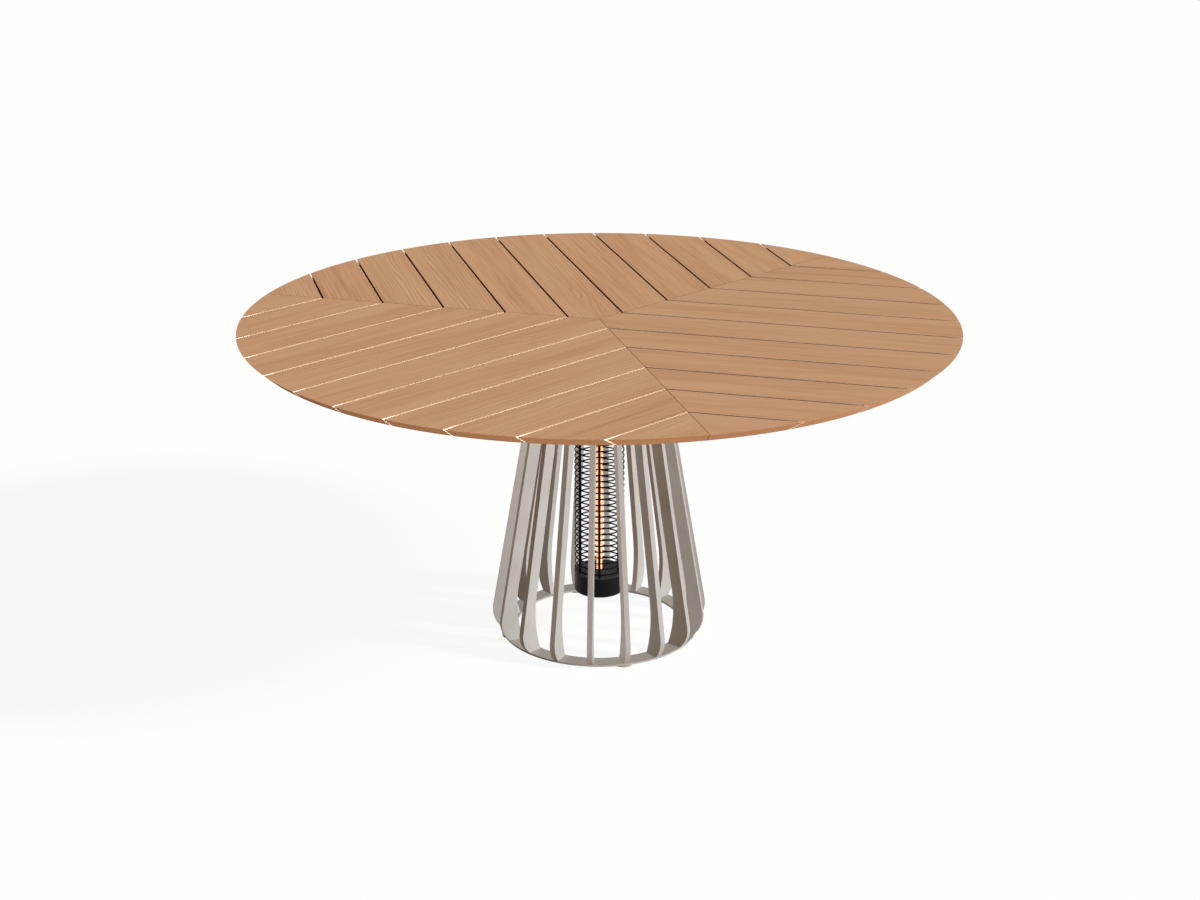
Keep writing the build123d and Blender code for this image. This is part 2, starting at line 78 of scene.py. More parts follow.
# Sectors of the top by the name in their nodes: the direction of their slats in degrees,
# and how far down the slats' sides carry a painted highlight, deeper where the key lamp falls
SECTOR_ANGLES = {"right": -15.0, "back": 105.0, "left": 225.0}
PAINTED_HIGHLIGHT_DEPTHS = {"right": 0.5 * MM, "back": 0.0 * MM, "left": 2.2 * MM}
HALF_SECTOR = math.radians(60)
SLAT_PITCH = 127.4 * MM
ROWS_BESIDE_MIDDLE = 5

# Marks in the teak: their length along the slat and their width across it; the streaks,
# the pores and the end grain's speckle are coarser than the real ones, so that they show
TONE_ZONE = (700 * MM, 60 * MM)
RING_BEND = (420 * MM, 55 * MM)
STREAK = (260 * MM, 5 * MM)
PORE = (14 * MM, 0.9 * MM)
END_GRAIN_SPECKLE = 1.6 * MM

# Turn of the ring pattern from one slat to the next, in radians: a ring every 7.3 mm,
# wider apart than most real ones, so that each shows
RING_TURN = 110.0

# Sides of the slats: how soon the painted highlight at the edge goes over to the painted shade
# down in the slot below it, and how far from the rim the painted highlight on the slots' open ends
# begins and stops
HIGHLIGHT_TO_SHADE_FADE = 2.0 * MM
OPEN_END_HIGHLIGHT_FADE = (22 * MM, 34 * MM)

# Powder coat: its grain, its slow changes in tone and its eased edges
COAT_GRAIN = 1.4 * MM
COAT_CLOUD = 90 * MM
COAT_EDGE_ROUND = 0.9 * MM

# Slat screws: pan heads whose profile is given in shares of the head's radius, out and down
RIM_SCREW_INSET = 15 * MM
SEAM_SCREW_INSET = 9 * MM
SEAM_SCREW_TO_RIM = 40 * MM
MIDDLE_SCREW_PLACES = (180 * MM, 420 * MM, 640 * MM)
SCREW_SIDES = 16
PAN_HEAD_SHARES = ((1.0, 0.0), (1.0, 0.18), (0.86, 0.42), (0.62, 0.56), (0.34, 0.62))
RECESS_DEPTH_SHARE = 0.22

# Hoops of the heater's guard
HOOP_PITCH = 14.5 * MM
HOOP_STEPS = 72
HOOP_SIDES = 10

# Wound element: a ceramic core and the wire round it
CORE_RADIUS = 4.2 * MM
CORE_SIDES = 24
COIL_RADIUS = 5.9 * MM
COIL_PITCH = 4.6 * MM
COIL_BARE_END = 8 * MM
COIL_WIRE_RADIUS = 0.9 * MM
COIL_WIRE_SIDES = 8
COIL_STEPS_A_TURN = 20

# How far the roughness of a speckled finish wanders either way
GLOSS_SPREAD = 0.06

# Glow: its blotches, and the heights where it is palest and deepest
GLOW_BLOTCH = 9 * MM
HOT_HEIGHT = 150 * MM
COOL_HEIGHT = 340 * MM

# Photograph's camera, in the table's frame: metres, degrees and millimetres of lens
CAMERA_PLACE = (0.0, -4.307, 2.005)
CAMERA_PITCH_DOWN = 19.98
CAMERA_ROLL = -0.05
CAMERA_LENS = 60.2
CAMERA_SENSOR = 36

# Stage: metres from the middle to the floor's edge and to a lamp, the share of plain white
# in what the camera sees of the floor, and the light of the surroundings
FLOOR_REACH = 30
LAMP_DISTANCE = 5
FLOOR_WHITE = 0.92
WORLD_STRENGTH = 0.15


def linear(hex_colour):
    """Linear colour with alpha from an sRGB hex value such as #C0946E."""
    parts = [int(hex_colour[at:at + 2], 16) / 255 for at in (1, 3, 5)]
    return [p / 12.92 if p <= 0.04045 else ((p + 0.055) / 1.055) ** 2.4 for p in parts] + [1.0]


def add(tree, kind, inputs=None, stops=(), **settings):
    """Adds a node with its settings, sets or links its inputs, and fills its colour ramp."""
    node = tree.nodes.new(kind)
    for key, value in settings.items():
        setattr(node, key, value)
    for key, value in (inputs or {}).items():
        if isinstance(value, bpy.types.NodeSocket):
            tree.links.new(value, node.inputs[key])
        else:
            node.inputs[key].default_value = value
    for number, (place, hex_colour) in enumerate(stops):
        elements = node.color_ramp.elements
        element = elements[number] if number < len(elements) else elements.new(place)
        element.position = place
        element.color = linear(hex_colour)
    return node


def new_material(name, base, roughness, metallic=0.0, specular=0.5):
    """An empty finish: its material, its node tree and its surface shader."""
    material = bpy.data.materials.new(name)
    material.use_nodes = True
    shader = material.node_tree.nodes["Principled BSDF"]
    shader.inputs["Base Color"].default_value = linear(base)
    shader.inputs["Roughness"].default_value = roughness
    shader.inputs["Metallic"].default_value = metallic
    shader.inputs["Specular IOR Level"].default_value = specular
    return material, material.node_tree, shader


def oiled_teak(name, slat_angle, highlight_depth, look):
    """Oiled teak, planed along the grain: warm brown, long streaks, short dark pores, with a
    painted highlight and painted shade on the slats' sides.
    """
    material, tree, shader = new_material(name, look.teak_colour, 0.6, specular=0.28)
    texture_place = add(tree, "ShaderNodeTexCoord")
    place = texture_place.outputs["Object"]
    normal = texture_place.outputs["Normal"]
    along_slat = add(
        tree, "ShaderNodeMapping",
        {"Vector": place, "Rotation": (0, 0, -math.radians(slat_angle))},
    ).outputs["Vector"]
    across = add(tree, "ShaderNodeSeparateXYZ", {"Vector": along_slat}).outputs["Y"]
    in_rows = add(
        tree, "ShaderNodeMath", {0: across, 1: SLAT_PITCH}, operation="DIVIDE"
    ).outputs[0]
    row = add(tree, "ShaderNodeMath", {0: in_rows}, operation="ROUND").outputs[0]
    chance = add(tree, "ShaderNodeTexWhiteNoise", {"W": row}, noise_dimensions="1D")
    # each slat is cut from its own stretch of board
    board = add(
        tree, "ShaderNodeVectorMath",
        {0: chance.outputs["Color"], 1: (3.0, 1.0, 1.0), 2: along_slat},
        operation="MULTIPLY_ADD",
    ).outputs["Vector"]

    def marks(size, **settings):
        """Noise drawn out along the slat, for marks of this length and width."""
        length, width = size
        scaled = add(
            tree, "ShaderNodeMapping",
            {"Vector": board, "Scale": (1 / length, 1 / width, 1 / width)},
        ).outputs["Vector"]
        return add(
            tree, "ShaderNodeTexNoise", {"Vector": scaled, "Scale": 1.0, **settings}
        ).outputs["Fac"]

    def facing(way, start, end):
        """Rises from 0 to 1 where a face looks this way or against it."""
        share = add(
            tree, "ShaderNodeVectorMath", {0: normal, 1: way}, operation="DOT_PRODUCT"
        ).outputs["Value"]
        share = add(tree, "ShaderNodeMath", {0: share}, operation="ABSOLUTE").outputs[0]
        return add(
            tree, "ShaderNodeMapRange", {"Value": share, "From Min": start, "From Max": end}
        ).outputs["Result"]

    # the heartwood's tone drifts over hand-wide zones and from slat to slat, and long
    # streaks a few millimetres wide run through it
    streaks = marks(STREAK, Detail=4.0, Roughness=0.6)
    zones = marks(TONE_ZONE, Detail=2.0)
    tone = -0.20
    for pattern, weight in ((zones, 0.40), (streaks, 0.80), (chance.outputs["Value"], 0.10)):
        tone = add(
            tree, "ShaderNodeMath", {0: pattern, 1: weight, 2: tone}, operation="MULTIPLY_ADD"
        ).outputs[0]
    face_colour = add(
        tree, "ShaderNodeValToRGB", {"Fac": tone},
        stops=((0.12, look.teak_dark), (0.42, look.teak_colour), (0.70, look.teak_light)),
    ).outputs["Color"]

    # growth rings, cut at a low angle, show as long wavy lines of dark late wood, strong in
    # some boards and faint in others
    ring_place = add(
        tree, "ShaderNodeMath", {0: marks(RING_BEND, Detail=1.0), 1: 0.35, 2: in_rows},
        operation="MULTIPLY_ADD",
    ).outputs[0]
    ring_turn = add(
        tree, "ShaderNodeMath", {0: ring_place, 1: RING_TURN}, operation="MULTIPLY"
    ).outputs[0]
    rings = add(tree, "ShaderNodeMath", {0: ring_turn}, operation="SINE").outputs[0]
    late_wood = add(
        tree, "ShaderNodeMapRange", {"Value": rings, "From Min": 0.35, "From Max": 1.0}
    ).outputs["Result"]
    contrast = add(
        tree, "ShaderNodeMapRange",
        {"Value": chance.outputs["Value"], "To Min": 0.04, "To Max": 0.36},
    ).outputs["Result"]
    ring_mask = add(
        tree, "ShaderNodeMath", {0: late_wood, 1: contrast}, operation="MULTIPLY"
    ).outputs[0]
    pore_mask = add(
        tree, "ShaderNodeMapRange",
        {"Value": marks(PORE, Detail=2.0), "From Min": 0.60, "From Max": 0.74,
         "To Min": 0.0, "To Max": 0.30},
    ).outputs["Result"]
    for mask in (ring_mask, pore_mask):
        face_colour = add(
            tree, "ShaderNodeMix",
            {"Factor": mask, "A": face_colour, "B": linear(look.teak_pore)}, data_type="RGBA",
        ).outputs["Result"]

    # planed sides: a painted highlight along their upper edge and at the open ends by the rim,
    # and painted shade down in the slots
    height = add(tree, "ShaderNodeSeparateXYZ", {"Vector": place}).outputs["Z"]
    slot_shade_share = add(
        tree, "ShaderNodeMapRange",
        {"Value": height, "From Min": TOP_HEIGHT - highlight_depth,
         "From Max": TOP_HEIGHT - highlight_depth - HIGHLIGHT_TO_SHADE_FADE},
    ).outputs["Result"]
    flat_place = add(
        tree, "ShaderNodeVectorMath", {0: place, 1: (1, 1, 0)}, operation="MULTIPLY"
    ).outputs["Vector"]
    from_centre = add(
        tree, "ShaderNodeVectorMath", {0: flat_place}, operation="LENGTH"
    ).outputs["Value"]
    inside = add(
        tree, "ShaderNodeMapRange",
        {"Value": from_centre, "From Min": TOP_RADIUS - OPEN_END_HIGHLIGHT_FADE[0],
         "From Max": TOP_RADIUS - OPEN_END_HIGHLIGHT_FADE[1]},
    ).outputs["Result"]
    side_colour = add(
        tree, "ShaderNodeMix",
        {"Factor": slot_shade_share, "A": linear(look.teak_side_highlight), "B": linear(look.teak_slot_shade)},
        data_type="RGBA",
    ).outputs["Result"]
    side_colour = add(
        tree, "ShaderNodeMix",
        {"Factor": inside, "A": linear(look.teak_open_end_highlight), "B": side_colour},
        data_type="RGBA",
    ).outputs["Result"]

    # sawn ends and the rim are deeper in colour, with speckled pores in place of streaks; the
    # mitred ends in the seams take the painted shade of the slots
    speckle = add(
        tree, "ShaderNodeTexNoise",
        {"Vector": place, "Scale": 1 / END_GRAIN_SPECKLE, "Detail": 2.0},
    ).outputs["Fac"]
    rim_grain = add(
        tree, "ShaderNodeValToRGB", {"Fac": speckle},
        stops=((0.30, look.teak_dark), (0.55, look.teak_end)),
    ).outputs["Color"]
    mitre_shade_grain = add(
        tree, "ShaderNodeValToRGB", {"Fac": speckle},
        stops=((0.30, look.teak_slot_shade_dark), (0.55, look.teak_slot_shade)),
    ).outputs["Color"]
    upward = add(tree, "ShaderNodeSeparateXYZ", {"Vector": normal}).outputs["Z"]
    on_bevel = add(
        tree, "ShaderNodeMapRange", {"Value": upward, "From Min": -0.2, "From Max": -0.5}
    ).outputs["Result"]
    end_colour = add(
        tree, "ShaderNodeMix", {"Factor": on_bevel, "A": mitre_shade_grain, "B": rim_grain},
        data_type="RGBA",
    ).outputs["Result"]

    # the slat's own directions pick out its sides and its ends
    turn = math.radians(slat_angle)
    side_mask = facing((-math.sin(turn), math.cos(turn), 0), 0.80, 0.95)
    end_mask = facing((math.cos(turn), math.sin(turn), 0), 0.18, 0.34)
    colour = face_colour
    for mask, other in ((side_mask, side_colour), (end_mask, end_colour)):
        colour = add(
            tree, "ShaderNodeMix", {"Factor": mask, "A": colour, "B": other}, data_type="RGBA"
        ).outputs["Result"]
    tree.links.new(colour, shader.inputs["Base Color"])

    face_roughness = add(
        tree, "ShaderNodeMapRange",
        {"Value": streaks, "From Min": 0.3, "From Max": 0.7, "To Min": 0.66, "To Max": 0.54},
    ).outputs["Result"]
    sawn = add(
        tree, "ShaderNodeMath", {0: side_mask, 1: end_mask}, operation="MAXIMUM"
    ).outputs[0]
    roughness = add(
        tree, "ShaderNodeMix", {"Factor": sawn, "A": face_roughness, "B": 0.9},
        data_type="FLOAT",
    ).outputs["Result"]
    tree.links.new(roughness, shader.inputs["Roughness"])
    relief = add(
        tree, "ShaderNodeMath", {0: pore_mask, 1: -0.6, 2: streaks}, operation="MULTIPLY_ADD"
    ).outputs[0]
    bump = add(
        tree, "ShaderNodeBump", {"Height": relief, "Strength": 0.22, "Distance": 0.4 * MM}
    )
    tree.links.new(bump.outputs["Normal"], shader.inputs["Normal"])
    return material


def powder_coat(look):
    """Polyester powder coat, baked on metal: matt, with a fine even orange-peel grain."""
    material, tree, shader = new_material("matt_powder_coat", look.coat_colour, 0.58)
    place = add(tree, "ShaderNodeTexCoord").outputs["Object"]
    # the real grain is about 0.5 mm, drawn at 1.4 mm so that it shows
    grain = add(
        tree, "ShaderNodeTexNoise",
        {"Vector": place, "Scale": 1 / COAT_GRAIN, "Detail": 3.0, "Roughness": 0.6},
    ).outputs["Fac"]
    cloud = add(
        tree, "ShaderNodeTexNoise", {"Vector": place, "Scale": 1 / COAT_CLOUD, "Detail": 2.0}
    ).outputs["Fac"]
    tone = add(
        tree, "ShaderNodeMath", {0: grain, 1: 0.5, 2: cloud}, operation="MULTIPLY_ADD"
    ).outputs[0]
    colour = add(
        tree, "ShaderNodeValToRGB", {"Fac": tone},
        stops=((0.45, look.coat_dark), (0.75, look.coat_colour), (1.00, look.coat_light)),
    ).outputs["Color"]
    tree.links.new(colour, shader.inputs["Base Color"])
    # the plates' cut edges are eased before coating
    eased = add(
        tree, "ShaderNodeBevel", {"Radius": COAT_EDGE_ROUND}, samples=4
    ).outputs["Normal"]
    bump = add(
        tree, "ShaderNodeBump",
        {"Height": grain, "Strength": 0.25, "Distance": 0.25 * MM, "Normal": eased},
    )
    tree.links.new(bump.outputs["Normal"], shader.inputs["Normal"])
    return material


def speckled(name, base, other, roughness, grain_mm, bump_mm=0.0, **shader_values):
    """A finish whose colour and gloss wander a little over a grain coarse enough to show."""
    material, tree, shader = new_material(name, base, roughness, **shader_values)
    place = add(tree, "ShaderNodeTexCoord").outputs["Object"]
    grain = add(
        tree, "ShaderNodeTexNoise",
        {"Vector": place, "Scale": 1 / (grain_mm * MM), "Detail": 4.0, "Roughness": 0.55},
    ).outputs["Fac"]
    colour = add(
        tree, "ShaderNodeValToRGB", {"Fac": grain}, stops=((0.35, base), (0.65, other))
    ).outputs["Color"]
    tree.links.new(colour, shader.inputs["Base Color"])
    gloss = add(
        tree, "ShaderNodeMapRange",
        {"Value": grain, "From Min": 0.3, "From Max": 0.7,
         "To Min": roughness - GLOSS_SPREAD, "To Max": roughness + GLOSS_SPREAD},
    ).outputs["Result"]
    tree.links.new(gloss, shader.inputs["Roughness"])
    if bump_mm:
        bump = add(
            tree, "ShaderNodeBump", {"Height": grain, "Strength": 0.3, "Distance": bump_mm * MM}
        )
        tree.links.new(bump.outputs["Normal"], shader.inputs["Normal"])
    return material


def quartz_glass():
    """Fused quartz, drawn: clear and smooth, its IOR low because a thin wall bends light little."""
    material, _, shader = new_material("fused_quartz", "#FFF4E6", 0.04)
    shader.inputs["Transmission Weight"].default_value = 1.0
    shader.inputs["IOR"].default_value = 1.12
    return material


def red_hot(name, look, shades):
    """A surface at red heat: its own light, blotchy, palest in its lower part."""
    material, tree, shader = new_material(name, look.glow_colour, 0.6)
    place = add(tree, "ShaderNodeTexCoord").outputs["Object"]
    blotches = add(
        tree, "ShaderNodeTexNoise", {"Vector": place, "Scale": 1 / GLOW_BLOTCH, "Detail": 2.0}
    ).outputs["Fac"]
    height = add(tree, "ShaderNodeSeparateXYZ", {"Vector": place}).outputs["Z"]
    lower = add(
        tree, "ShaderNodeMapRange",
        {"Value": height, "From Min": COOL_HEIGHT, "From Max": HOT_HEIGHT,
         "To Min": -0.10, "To Max": 0.16},
    ).outputs["Result"]
    heat = add(tree, "ShaderNodeMath", {0: blotches, 1: lower}, operation="ADD").outputs[0]
    colour = add(
        tree, "ShaderNodeValToRGB", {"Fac": heat}, stops=tuple(zip((0.30, 0.50, 0.70), shades))
    ).outputs["Color"]
    tree.links.new(colour, shader.inputs["Emission Color"])
    shader.inputs["Emission Strength"].default_value = look.glow_strength
    return material


def dress(material, *nodes):
    """Gives CAD nodes one finish."""
    for name in nodes:
        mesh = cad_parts[name].data
        mesh.materials.clear()
        mesh.materials.append(material)


def mesh_object(name, bm, material):
    """Turns finished mesh code into an object of the scene."""
    mesh = bpy.data.meshes.new(name)
    bm.to_mesh(mesh)
    bm.free()
    mesh.materials.append(material)
    made = bpy.data.objects.new(name, mesh)
    bpy.context.collection.objects.link(made)
    return made


def mesh_piece(name, bm, material, body):
    """Makes a finished mesh object that moves with a body."""
    piece = mesh_object(name, bm, material)
    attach(piece, body)
    return piece


def on_circle(step, steps):
    """The outward direction and the tangent at one step of a round turn."""
    turn = 2 * math.pi * step / steps
    outward = Vector((math.cos(turn), math.sin(turn), 0))
    return outward, Vector((-math.sin(turn), math.cos(turn), 0))


def swept_wire(bm, spine, section_radius, sides, closed):
    """Skins a round wire along points, each with its outward direction and its tangent."""
    rings = []
    for point, outward, tangent in spine:
        third = outward.cross(tangent).normalized()
        ring = []
        for side in range(sides):
            turn = 2 * math.pi * side / sides
            offset = outward * math.cos(turn) + third * math.sin(turn)
            ring.append(bm.verts.new(point + offset * section_radius))
        rings.append(ring)
    following = rings[1:] + rings[:1] if closed else rings[1:]
    for first, second in zip(rings, following):
        for side in range(sides):
            after = (side + 1) % sides
            face = bm.faces.new((first[side], second[side], second[after], first[after]))
            face.smooth = True
    if not closed:
        bm.faces.new(rings[0])
        bm.faces.new(list(reversed(rings[-1])))


class TableLook(bpy.types.PropertyGroup):
    """Colours and sizes that a user would change."""

    teak_colour: bpy.props.StringProperty(
        name="Teak", description="Main colour of the slats, sRGB", default="#C59873"
    )
    teak_dark: bpy.props.StringProperty(
        name="Teak streaks", description="Dark streaks of the boards, sRGB", default="#A97C56"
    )
    teak_light: bpy.props.StringProperty(
        name="Pale teak", description="Pale bands of the boards, sRGB", default="#D0A681"
    )
    teak_pore: bpy.props.StringProperty(
        name="Teak pores", description="Open pores and late wood, sRGB", default="#8A5C38"
    )
    teak_end: bpy.props.StringProperty(
        name="Teak end grain", description="Sawn ends at the rim, sRGB", default="#C6966E"
    )
    # painted shade: the dark of the seams and of the slots below the painted highlight, not oil
    teak_slot_shade: bpy.props.StringProperty(
        name="Teak mitres",
        description="Oil-darkened wood at the seams and down in the slots, sRGB",
        default="#6A280C",
    )
    # painted shade: the darker speckle of the shaded mitred ends
    teak_slot_shade_dark: bpy.props.StringProperty(
        name="Teak mitres, dark", description="Pores of the mitred ends, sRGB", default="#4A2510"
    )
    # painted highlight: the pale colour of the slats' upper sides, not a sanded edge
    teak_side_highlight: bpy.props.StringProperty(
        name="Teak sides", description="Sanded edges of the slats, sRGB", default="#CEB594"
    )
    # painted highlight: the near-white sides of the slots' open ends by the rim
    teak_open_end_highlight: bpy.props.StringProperty(
        name="Teak open ends", description="Slots' ends in the rim, sRGB", default="#FFF4E4"
    )
    coat_colour: bpy.props.StringProperty(
        name="Powder coat", description="Main colour of the fins, sRGB", default="#B4B0AA"
    )
    coat_dark: bpy.props.StringProperty(
        name="Powder coat, dark", description="Shade of the coat's grain, sRGB", default="#AEA9A2"
    )
    coat_light: bpy.props.StringProperty(
        name="Powder coat, light", description="Light of the coat's grain, sRGB", default="#BAB7B2"
    )
    enamel_colour: bpy.props.StringProperty(
        name="Heater enamel", description="Black of the heater's housing, sRGB", default="#060607"
    )
    glow_colour: bpy.props.StringProperty(
        name="Glow", description="Colour of the element by other light, sRGB", default="#FFB060"
    )
    glow_strength: bpy.props.FloatProperty(
        name="Glow strength", description="Light given off by the element", default=1.0, min=0.0
    )
    hoop_wire: bpy.props.FloatProperty(
        name="Guard wire", description="Thickness of the guard's hoops",
        default=3.4 * MM, unit="LENGTH",
    )
    screw_head: bpy.props.FloatProperty(
        name="Screw head", description="Diameter of the slat screws' heads",
        default=9.0 * MM, unit="LENGTH",
    )


class TABLE_OT_slats(bpy.types.Operator):
    """Gives the slats of each sector oiled teak whose grain runs along them"""

    bl_idname = "table.slats"
    bl_label = "Teak slats"

    def execute(self, context):
        look = context.scene.table_look
        for sector, angle in SECTOR_ANGLES.items():
            # each sector's teak gets its own depth of painted highlight on the slats' sides
            teak = oiled_teak(f"oiled_teak_{sector}", angle, PAINTED_HIGHLIGHT_DEPTHS[sector], look)
            dress(teak, *[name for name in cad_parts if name.startswith(f"slat_{sector}_")])
        return {"FINISHED"}


class TABLE_OT_metalwork(bpy.types.Operator):
    """Coats the pedestal and the sub-frame, and finishes bolts, nuts and feet"""

    bl_idname = "table.metalwork"
    bl_label = "Pedestal and sub-frame"

    def execute(self, context):
        look = context.scene.table_look
        dress(
            powder_coat(look), "fins_back", "fins_left", "fins_front", "floor_ring",
            "head_plate", "hub_plate", "rim_ring", "middle_rails", "seam_rails",
            "hanger_bracket",
        )
        # zinc plating: pale grey metal, slightly mottled
        zinc = speckled("zinc_plated_steel", "#B9B9B4", "#A4A49E", 0.38, 3.0, metallic=1.0)
        dress(zinc, "hub_bolts", "foot_nuts", "hanger_pin")
        # nylon glides: matt, moulded, with a faint grain
        nylon = speckled("moulded_nylon", "#BDB3A3", "#B3A998", 0.6, 1.2, bump_mm=0.15)
        dress(nylon, "foot_1", "foot_2", "foot_3", "foot_4")
        return {"FINISHED"}


class TABLE_OT_screws(bpy.types.Operator):
    """Drives the screws that hold the slats to the rim ring and to the rails"""

    bl_idname = "table.screws"
    bl_label = "Slat screws"

    def execute(self, context):
        radius = context.scene.table_look.screw_head / 2
        ring_low, ring_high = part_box("rim_ring")
        rail_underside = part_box("seam_rails")[0].z
        rim_circle = ring_high.x - RIM_SCREW_INSET
        bm = bmesh.new()
        for angle in SECTOR_ANGLES.values():
            turn = Matrix.Rotation(math.radians(angle), 4, "Z")
            for row in range(-ROWS_BESIDE_MIDDLE, ROWS_BESIDE_MIDDLE + 1):
                y = row * SLAT_PITCH
                x = math.sqrt(rim_circle**2 - y**2)
                self.drive(bm, turn @ Vector((x, y, ring_low.z)), radius)
                # the mitred slats have a second screw, in the rail under their seam
                seam_length = (
                    abs(y) + SEAM_SCREW_INSET * math.cos(HALF_SECTOR)
                ) / math.sin(HALF_SECTOR)
                x = seam_length * math.cos(HALF_SECTOR) + SEAM_SCREW_INSET * math.sin(HALF_SECTOR)
                if row and seam_length < rim_circle - SEAM_SCREW_TO_RIM:
                    self.drive(bm, turn @ Vector((x, y, rail_underside)), radius)
            for x in MIDDLE_SCREW_PLACES:
                self.drive(bm, turn @ Vector((x, 0, rail_underside)), radius)
        # stainless steel: bright, faintly mottled
        steel = speckled("stainless_screws", "#C9C8C4", "#B2B1AC", 0.3, 2.0, metallic=1.0)
        mesh_piece("slat_screws", bm, steel, "table")
        return {"FINISHED"}

    def drive(self, bm, place, radius):
        """One pan head under a surface, with a pointed recess."""
        rings = []
        for reach, drop in PAN_HEAD_SHARES:
            ring = []
            for side in range(SCREW_SIDES):
                outward, _ = on_circle(side, SCREW_SIDES)
                offset = outward * radius * reach - Vector((0, 0, radius * drop))
                ring.append(bm.verts.new(place + offset))
            rings.append(ring)
        for upper, lower in zip(rings, rings[1:]):
            for side in range(SCREW_SIDES):
                after = (side + 1) % SCREW_SIDES
                face = bm.faces.new((upper[side], upper[after], lower[after], lower[side]))
                face.smooth = True
        recess = bm.verts.new(place - Vector((0, 0, radius * RECESS_DEPTH_SHARE)))
        for side in range(SCREW_SIDES):
            bm.faces.new((rings[-1][side], rings[-1][(side + 1) % SCREW_SIDES], recess))
        bm.faces.new(list(reversed(rings[0])))


class TABLE_OT_housing(bpy.types.Operator):
    """Finishes the heater's base, lid, cap, stem and cable gland"""

    bl_idname = "table.housing"
    bl_label = "Heater housing"

    def execute(self, context):
        look = context.scene.table_look
        # stove enamel on sheet steel: near black, satin, a soft sheen on the edges
        enamel = speckled(
            "stoved_enamel", look.enamel_colour, "#0A0A0B", 0.45, 2.2, bump_mm=0.08, specular=0.14
        )
        dress(enamel, "heater_base", "heater_cap", "hanger_stem")
        # heat-proof paint on the lid: dull, a shade lighter than the enamel
        paint = speckled("heatproof_paint", "#25272B", "#2D2F33", 0.7, 1.6, bump_mm=0.1)
        dress(paint, "heater_lid")
        # moulded nylon gland: black, duller than the enamel
        gland = speckled("black_nylon", "#141414", "#1C1C1C", 0.62, 1.2, bump_mm=0.1)
        dress(gland, "cable_gland")
        return {"FINISHED"}


class TABLE_OT_guard(bpy.types.Operator):
    """Finishes the guard's rods and makes round hoops in place of the faceted rings"""

    bl_idname = "table.guard"
    bl_label = "Heater guard"

    def execute(self, context):
        # blued wire: the guard is black all through, with next to no sheen
        blued = speckled(
            "blued_wire", "#020202", "#060606", 0.6, 1.2, bump_mm=0.05, specular=0.08
        )
        dress(blued, "guard_rods")
        wire = context.scene.table_look.hoop_wire
        low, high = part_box("guard_rings")
        hoop_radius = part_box("guard_rods")[1].y + wire / 2
        last = round((high.z - low.z - wire) / HOOP_PITCH)
        bm = bmesh.new()
        for number in range(last + 1):
            height = low.z + wire / 2 + number * (high.z - low.z - wire) / last
            spine = []
            for step in range(HOOP_STEPS):
                outward, tangent = on_circle(step, HOOP_STEPS)
                spine.append((outward * hoop_radius + Vector((0, 0, height)), outward, tangent))
            swept_wire(bm, spine, wire / 2, HOOP_SIDES, closed=True)
        hoops = mesh_piece("guard_hoops", bm, blued, "heater")
        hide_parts("guard_rings")
        return {"FINISHED"}


class TABLE_OT_lamp(bpy.types.Operator):
    """Finishes the lamp's holders and tube and makes the glowing element inside it"""

    bl_idname = "table.lamp"
    bl_label = "Heater lamp"

    def execute(self, context):
        look = context.scene.table_look
        # steatite lamp holders: chalky, off-white, with a fine pressed grain
        steatite = speckled("steatite", "#D9D2C3", "#C9C1B0", 0.75, 0.9, bump_mm=0.1)
        dress(steatite, "lamp_holders")
        dress(quartz_glass(), "lamp_tube")
        low, high = (corner.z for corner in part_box("heating_element"))
        coil = self.make_coil(low, high, look)
        self.make_core(low, high, look)
        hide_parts("heating_element")
        return {"FINISHED"}

    def make_coil(self, low, high, look):
        """Resistance wire wound round the core from end to end."""
        turns = (high - low - 2 * COIL_BARE_END) / COIL_PITCH
        climb = Vector((0, 0, COIL_PITCH / (2 * math.pi * COIL_RADIUS)))
        spine = []
        for step in range(int(turns * COIL_STEPS_A_TURN) + 1):
            outward, tangent = on_circle(step, COIL_STEPS_A_TURN)
            height = low + COIL_BARE_END + COIL_PITCH * step / COIL_STEPS_A_TURN
            point = outward * COIL_RADIUS + Vector((0, 0, height))
            spine.append((point, outward, (tangent + climb).normalized()))
        bm = bmesh.new()
        swept_wire(bm, spine, COIL_WIRE_RADIUS, COIL_WIRE_SIDES, closed=False)
        # resistance wire: orange where it is cooler, pale yellow where it is hottest
        wire = red_hot("resistance_wire", look, ("#B87850", "#D2A07E", "#FADCB4"))
        return mesh_piece("glowing_coil", bm, wire, "heater")

    def make_core(self, low, high, look):
        """Ceramic rod that carries the coil."""
        outward, upward = Vector((1, 0, 0)), Vector((0, 0, 1))
        bm = bmesh.new()
        spine = [(upward * height, outward, upward) for height in (low, high)]
        swept_wire(bm, spine, CORE_RADIUS, CORE_SIDES, closed=False)
        # hot ceramic: the deep orange seen between the turns of the wire
        ceramic = red_hot("hot_ceramic_core", look, ("#8E3A14", "#A85220", "#D0803A"))
        mesh_piece("ceramic_core", bm, ceramic, "heater")


